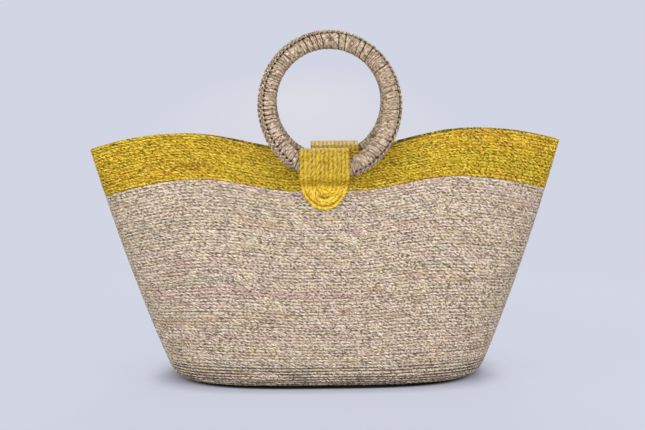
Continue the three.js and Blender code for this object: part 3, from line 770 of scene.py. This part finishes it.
# Ring wraps
# A flat strip of undyed palm is wound tightly round each rod. Every turn laps over the one before, so each
# starts low and ends high, and the laps show as thin lines of painted shade at uneven distances.
RING_HALF_WIDTH = 62.9
RING_HALF_HEIGHT = 67.8
RING_RISE = 62.52  # the ring's middle above its hinge, along the ring
RING_LEAN = np.radians(17.94)
WRAP_LOW = 8.2
WRAP_HIGH = 8.95
WRAP_TURNS = 88
WRAP_NARROWEST = 0.45  # a turn's width beside the others
WRAP_WIDER = 4  # how many times as wide the widest one is
WRAP_TOP_WIDER = 0.8  # what is added at the ring's top
WRAP_TOP_TURNS = 4.5  # over so many turns to either side
WRAP_CUTS = np.array([0, 0.07, 0.15, 0.4, 0.65, 0.85, 0.93])
WRAP_STEPS = 40
WRAP_LEAST = 0.75  # share of the rise that every turn has
WRAP_RIPPLE = 0.12
LAP_LEAST = 0.15  # the palest painted shade of a lap
LAP_BY_RIDGE = 0.6  # how much darker the laps' painted shade is beside the knots
HOLES_OFF = 1.1  # middle of the holes beside the knots, in the knots' half widths
HOLES_WIDE = 0.5
WRAP_MAP_ROW = 300
WRAP_MAP_STEP = 0.09
RIDGE_TURN = np.radians(22)  # how far the knots lie in front of the ring's outer side
RIDGE_TWIST = np.radians(22)  # how much more that is on the ring's left side, and less on its right
RIDGE_SPREAD = 0.36  # about half the width of the knots, as an angle round the rod
RIDGE_END_GAP = 3  # from the tab's edges to the knots
KNOT_PITCH = 14 / 3
NEAR_END = np.arcsin((TAB_WIDTH / 2 - TAB_OFFSET + RIDGE_END_GAP) / RING_HALF_WIDTH)
FAR_END = np.arcsin((TAB_WIDTH / 2 + TAB_OFFSET + RIDGE_END_GAP) / RING_HALF_WIDTH)

# A flat strip of undyed leaf: greyish straw with ribs along the strip, dulled by hands, and nearly black
# painted shade under the laps.
wound_palm = palm_leaf(
    "natural palm strip, wound",
    ["#74685a", "#9e9180", "#b4a793", "#c2b5a0", "#dbcfbb"],
    ["#f3e0d8", "#faeae2", "#f5ecdf", "#f7e5dc", "#f0eadd", "#f4e3db"],
    "#94755f",
    "#170d07",
    (4.6, 14.5),
    (1.1, 2.4),
    0.66,
)


def rod_point(around, turn, distance):
    """Point of a ring's rod in the ring's own frame: an angle round the ring from its foot, an angle round
    the rod from the ring's outer side to its front, and a distance from the rod's middle line."""
    middle = np.stack([RING_HALF_WIDTH * np.sin(around), 0 * around, -RING_HALF_HEIGHT * np.cos(around)], -1)
    outward = np.stack([RING_HALF_HEIGHT * np.sin(around), 0 * around, -RING_HALF_WIDTH * np.cos(around)], -1)
    front = np.array([0, -1, 0])
    out = (distance * np.cos(turn))[..., None] * unit_vectors(outward)
    return middle + out + (distance * np.sin(turn))[..., None] * front


def ring_place(points, side):
    """Leans a ring in over the mouth, about its hinge, and puts it on its side of the bag."""
    x, y, z = np.moveaxis(points + np.array([0, 0, RING_RISE]), -1, 0)
    leaned = np.stack(
        [
            x,
            y * np.cos(RING_LEAN) + z * np.sin(RING_LEAN) - HINGE_OUT,
            z * np.cos(RING_LEAN) - y * np.sin(RING_LEAN) + HINGE_HEIGHT,
        ],
        -1,
    )
    return handle_place(leaned, side)


def wrap_winding():
    """Columns are places across the strip, and rows are angles round the rod. The strip moves on by its own
    width in each turn, so the last row joins the first one turn later. The height over the rod rises across
    the strip and falls back at its edge, and under the knots it is even. Turns are of chance width, and
    wider at the ring's top. Painted shade darkens the laps, more beside the knots, and holes of painted
    shade, drawn by a squared sine, lie on both sides of the knots, a knot's length apart."""
    turns = np.arange(WRAP_TURNS)
    near_top = np.exp(-(((turns - WRAP_TURNS / 2) / WRAP_TOP_TURNS) ** 2))
    widths = WRAP_NARROWEST * WRAP_WIDER ** chance(turns, 3, 7) + WRAP_TOP_WIDER * near_top
    edges = np.concatenate([[0], np.cumsum(widths)]) / widths.sum() * 2 * np.pi
    long_turns = np.arange(-WRAP_TURNS, 2 * WRAP_TURNS)
    long_edges = np.concatenate([edges[:-1] - 2 * np.pi, edges[:-1], edges[:-1] + 2 * np.pi])
    phase = (turns[:, None] + WRAP_CUTS).ravel()[None, :]
    turn = (np.arange(WRAP_STEPS) / WRAP_STEPS)[:, None]
    around = np.interp(phase - turn, long_turns, long_edges)
    strip = np.floor(phase)
    part = phase - strip
    rise = part**0.7 * (WRAP_LEAST + (1 - WRAP_LEAST) * chance(strip, 4, 8))
    ripple = WRAP_RIPPLE * np.sin(2 * np.pi * (3 * turn + chance(strip, 5, 9)))
    distance = WRAP_LOW + (WRAP_HIGH - WRAP_LOW) * rise + ripple * part
    off_ridge = 2 * np.pi * np.minimum(turn, 1 - turn) / RIDGE_SPREAD
    distance = distance + (WRAP_HIGH - distance) * np.exp(-(off_ridge**2))
    dark = np.select([part < 0.01, part < 0.08, part > 0.9], [1.0, 0.85, 0.7], 0.0)
    by_ridge = 1 + LAP_BY_RIDGE * np.exp(-((off_ridge / 2.5) ** 2))
    painted_shade = dark * (LAP_LEAST + (1 - LAP_LEAST) * chance(strip, 6, 10)) * by_ridge
    bare = np.cos(around) > np.cos(np.where(np.sin(around) < 0, FAR_END, NEAR_END))
    knots = (around - NEAR_END) * (RING_HALF_WIDTH + RING_HALF_HEIGHT) / 2 / KNOT_PITCH
    holes = np.sin(np.pi * (knots + np.where(turn < 0.5, 0.25, -0.25))) ** 2
    holes = holes * np.exp(-(((off_ridge - HOLES_OFF) / HOLES_WIDE) ** 2))
    holes = holes * (0.6 + 0.6 * chance(np.floor(knots), 7, 11))
    under = np.where(bare, 0, 2.8 * holes - 0.6 + 0.6 * np.exp(-((off_ridge / 1.2) ** 4)))
    painted_shade = np.clip(np.maximum(painted_shade, under), 0, 1)
    start = RIDGE_TURN - RIDGE_TWIST * np.sin(around)
    points = rod_point(around, start + 2 * np.pi * turn, distance * np.ones_like(around))
    columns = phase.size
    twist = len(WRAP_CUTS)
    faces, corner_row, corner_column = grid_faces(WRAP_STEPS, columns, rows_joined=True, twist=twist)
    wide_phase = np.append(phase[0], WRAP_TURNS)
    places = np.stack([wide_phase[corner_column], corner_row * WRAP_MAP_STEP + WRAP_MAP_ROW], -1)
    return points, faces, places, painted_shade


wrap_points, *wrap_lay = wrap_winding()
for side in ("front", "rear"):
    placed = ring_place(wrap_points, side).reshape(-1, 3)
    node = f"{side}_ring_wrap"
    add_piece(f"{side}_ring_winding", node, f"{side}_ring", "ring_palm", wound_palm, placed, *wrap_lay)


# Knot ridges
# The wrap is locked by a chain of knots along the outer side of each ring. Three thin palm strips cross over
# and under each other along it, and leave small holes on both sides, painted dark as shade.
RIDGE_OFF = 9.6
RIDGE_PITCH = 3 * KNOT_PITCH
RIDGE_HALF_WIDTH = 3.2
RIDGE_SWELL = 0.5
RIDGE_STRAND = 0.85  # radius of one strip
RIDGE_SIDES = 8
CHAIN_STRANDS = 3
CHAIN_STEPS = 440
CHAIN_MAP_ROW = 400
CHAIN_MAP_STEP = 5  # mm along a strip in one step of the map
CHAIN_MAP_WIDTH = 0.5  # steps round a strip


def knot_chain(strand):
    """One of three plaited strips. Its middle line is a sine across the chain, and a sine of twice the angle
    over and under the others, a third of a wave apart for each strip. It gets painted shade where it dips
    under."""
    around = np.linspace(NEAR_END, 2 * np.pi - FAR_END, CHAIN_STEPS)
    walked = (around - around[0]) * (RING_HALF_WIDTH + RING_HALF_HEIGHT) / 2
    angle = 2 * np.pi * (walked / RIDGE_PITCH + strand / CHAIN_STRANDS)
    turn = RIDGE_TURN - RIDGE_TWIST * np.sin(around) + RIDGE_HALF_WIDTH * np.sin(angle) / RIDGE_OFF
    over = np.sin(2 * angle)
    path = rod_point(around, turn, RIDGE_OFF + RIDGE_SWELL * over)
    above = rod_point(around, turn, RIDGE_OFF + 1 + RIDGE_SWELL * over) - path
    points = sweep(path, above, RIDGE_STRAND, RIDGE_SIDES)
    painted_shade = np.broadcast_to(np.clip(0.1 - 0.4 * over, 0, 0.5)[:, None], points.shape[:2])
    faces, corner_row, corner_column = grid_faces(len(path), RIDGE_SIDES)
    across_map = corner_column / RIDGE_SIDES * CHAIN_MAP_WIDTH + strand
    places = np.stack([across_map, walked[corner_row] / CHAIN_MAP_STEP + CHAIN_MAP_ROW], -1)
    return points, faces, places, painted_shade


chains = [knot_chain(strand) for strand in range(CHAIN_STRANDS)]
chain_points = np.stack([chain[0] for chain in chains])
strand_points = CHAIN_STEPS * RIDGE_SIDES
chain_faces = np.concatenate([chain[1] + k * strand_points for k, chain in enumerate(chains)])
chain_places = np.concatenate([chain[2] for chain in chains])
chain_shades = np.stack([chain[3] for chain in chains])
chain_lay = (chain_faces, chain_places, chain_shades)
for side in ("front", "rear"):
    placed = ring_place(chain_points, side).reshape(-1, 3)
    name = f"{side}_ring_knot_chain"
    node = f"{side}_ring_knot_ridge"
    add_piece(name, node, f"{side}_ring", "ring_palm", wound_palm, placed, *chain_lay)


# Floor, light and view
# A pale lavender-grey paper floor that runs out of sight under plain soft studio light, seen from a little
# above the rim and just left of the middle, through a long lens.
FLOOR_REACH = 60  # metres each way
PAPER_FAR = "#d2d5e3"  # what the floor and the air above it come to in the distance
PAPER_BRIGHT = "#dedde5"  # the middle of the picture
PAPER_LIT = "#b4b6c3"  # the paper's own colour under the lamps
PAPER_BOUNCE = "#8a8a90"  # what it throws back at the bag
PAPER_PAINTED_SHADOW = "#0a0908"  # painted contact shadow where no light gets in
METRE = 1000  # millimetres

floor_mesh = bpy.data.meshes.new("paper_floor")
floor_corners = [(-FLOOR_REACH, -FLOOR_REACH, 0), (FLOOR_REACH, -FLOOR_REACH, 0)]
floor_corners += [(FLOOR_REACH, FLOOR_REACH, 0), (-FLOOR_REACH, FLOOR_REACH, 0)]
floor_mesh.from_pydata(floor_corners, [], [(0, 1, 2, 3)])
# Uncoated paper is quite matt, so it shows one even tone and no reflection of the bag.
paper = bpy.data.materials.new("matt studio paper")
paper.use_nodes = True
paper_tree = paper.node_tree
paper_tree.nodes.clear()
paper_place = add_node(paper_tree, "TexCoord", {})


def seen_ray(tree):
    """Node that gives 1 for what the camera sees, also by way of metal or glass, and 0 for light that falls
    on the object."""
    ray = add_node(tree, "LightPath", {})
    seen = ray.outputs["Is Camera Ray"]
    for other in ("Is Glossy Ray", "Is Transmission Ray"):
        seen = add_node(tree, "Math", {0: seen, 1: ray.outputs[other]}, operation="MAXIMUM")
    return seen


paper_seen = seen_ray(paper_tree)
# The paper's glow is painted brightest a few metres behind the bag, a painted pool of light.
paper_spread = add_node(
    paper_tree, "VectorMath",
    {0: paper_place.outputs["Object"], 1: (1.6, 0.2, 0), 2: (0.05, -1.0, 0)},
    operation="MULTIPLY_ADD",
)
paper_far = add_node(paper_tree, "VectorMath", {0: paper_spread}, operation="LENGTH")
paper_colour = add_node(
    paper_tree, "Mix",
    {0: paper_far.outputs["Value"], 6: linear(PAPER_BRIGHT), 7: linear(PAPER_FAR)},
    data_type="RGBA",
)
# It throws some light back up at the bag. Between the paper and the heel a contact shadow is painted,
# nearly black. That zone is drawn by an outline like the base's, shorter by the heel's radius at both
# ends: on it, the cubes of the shares of its half sizes sum to 1.
paper_round = add_node(
    paper_tree, "VectorMath",
    {
        0: paper_place.outputs["Object"],
        1: (METRE / (BASE_HALF_LENGTH - HEEL_RADIUS), METRE / BASE_HALF_DEPTH, 0),
    },
    operation="MULTIPLY",
)
paper_share = add_node(paper_tree, "VectorMath", {0: paper_round}, operation="ABSOLUTE")
paper_square = add_node(paper_tree, "VectorMath", {0: paper_share, 1: paper_share}, operation="MULTIPLY")
paper_cube = add_node(
    paper_tree, "VectorMath", {0: paper_square, 1: paper_share}, operation="DOT_PRODUCT"
)
paper_painted_shadow = add_node(
    paper_tree, "MapRange",
    {"Value": paper_cube.outputs["Value"], "From Min": 1.22, "From Max": 0.9},
    interpolation_type="SMOOTHSTEP",
)
paper_bounce = add_node(
    paper_tree, "Mix", {0: paper_seen, 6: linear(PAPER_BOUNCE), 7: linear(PAPER_LIT)}, data_type="RGBA"
)
paper_tone = add_node(
    paper_tree, "Mix",
    {0: paper_painted_shadow, 6: paper_bounce.outputs[2], 7: linear(PAPER_PAINTED_SHADOW)},
    data_type="RGBA",
)
paper_shader = add_node(
    paper_tree, "BsdfPrincipled",
    {"Base Color": paper_tone.outputs[2], "Roughness": 0.9, "Specular IOR Level": 0.2},
)
# Away from the bag the paper shows its plain colour to the camera, so that it stays pale. Close to the bag it
# is lit paper, which keeps the bag's shadow, and in between the two mix.
paper_glow = add_node(paper_tree, "Emission", {"Color": paper_colour.outputs[2], "Strength": 1.0})
paper_clear = add_node(
    paper_tree, "MapRange",
    {"Value": paper_cube.outputs["Value"], "From Min": 1.15, "From Max": 2.6, "To Max": 0.75},
    interpolation_type="SMOOTHSTEP",
)
paper_off = add_node(paper_tree, "VectorMath", {0: paper_place.outputs["Object"]}, operation="LENGTH")
paper_away = add_node(
    paper_tree, "MapRange",
    {"Value": paper_off.outputs["Value"], "From Min": 0.15, "From Max": 0.8},
    interpolation_type="SMOOTHSTEP",
)
paper_most = add_node(paper_tree, "Math", {0: paper_away, 1: paper_clear}, operation="MAXIMUM")
paper_mix = add_node(paper_tree, "Math", {0: paper_most, 1: paper_seen}, operation="MULTIPLY")
paper_both = add_node(paper_tree, "MixShader", {0: paper_mix, 1: paper_shader, 2: paper_glow})
add_node(paper_tree, "OutputMaterial", {"Surface": paper_both})
floor_mesh.materials.append(paper)
paper_floor = bpy.data.objects.new("paper_floor", floor_mesh)
bpy.context.scene.collection.objects.link(paper_floor)


def turn_matrix(eye, right, upward, forward):
    """Columns of the object matrix of a camera or lamp, from its place in mm and the directions of its
    view."""
    matrix = np.eye(4)
    matrix[:3, 0] = right
    matrix[:3, 1] = upward
    matrix[:3, 2] = -forward
    matrix[:3, 3] = eye * MM
    return matrix.T.tolist()


LAMP_SIZE = 1.4  # metres
LAMP_AIM = np.array([0, 0, 150])
lamps = [
    ("soft key", (-60, -2000, 600), 26),
    ("left fill", (-1900, -1200, 500), 20),
    ("right fill", (1900, -1200, 500), 20),
    ("overhead", (0, 0, 2300), 11),
    ("soft back", (300, 1900, 1500), 32),
]
for name, spot, power in lamps:
    lamp = bpy.data.lights.new(name, "AREA")
    lamp.shape = "SQUARE"
    lamp.size = LAMP_SIZE
    lamp.energy = power
    eye = np.array(spot, float)
    forward = unit_vectors(LAMP_AIM - eye)
    right = unit_vectors(np.cross(forward, [0, 1, 0.01]))
    lamp_object = bpy.data.objects.new(name, lamp)
    lamp_object.matrix_world = turn_matrix(eye, right, np.cross(right, forward), forward)
    bpy.context.scene.collection.objects.link(lamp_object)

world = bpy.data.worlds.new("studio")
world.use_nodes = True
sky_tree = world.node_tree
sky_tree.nodes.clear()
sky_seen = seen_ray(sky_tree)
sky_light = add_node(sky_tree, "Background", {"Color": linear("#e6e7ee"), "Strength": 0.85})
sky_plain = add_node(sky_tree, "Background", {"Color": linear(PAPER_FAR), "Strength": 1.0})
sky_both = add_node(sky_tree, "MixShader", {0: sky_seen, 1: sky_light, 2: sky_plain})
add_node(sky_tree, "OutputWorld", {"Surface": sky_both})
bpy.context.scene.world = world

SENSOR_WIDTH = 36
EYE = np.array([-16.2, -1500, 365.9])
YAW = np.radians(0.492)
PITCH = np.radians(-7.606)
ROLL = np.radians(-0.522)
FOCAL_SHARE = 1457.5 / 645  # focal length over the picture's width

view_forward = np.array([np.sin(YAW) * np.cos(PITCH), np.cos(YAW) * np.cos(PITCH), np.sin(PITCH)])
level_right = np.array([np.cos(YAW), -np.sin(YAW), 0])
level_up = np.cross(level_right, view_forward)
view_right = np.cos(ROLL) * level_right + np.sin(ROLL) * level_up
view_up = np.cos(ROLL) * level_up - np.sin(ROLL) * level_right
camera_data = bpy.data.cameras.new("photograph view")
camera_data.sensor_width = SENSOR_WIDTH
camera_data.lens = SENSOR_WIDTH * FOCAL_SHARE
camera = bpy.data.objects.new("photograph view", camera_data)
camera.matrix_world = turn_matrix(EYE, view_right, view_up, view_forward)
bpy.context.scene.collection.objects.link(camera)
bpy.context.scene.camera = camera
bpy.context.scene.view_settings.view_transform = "Standard"
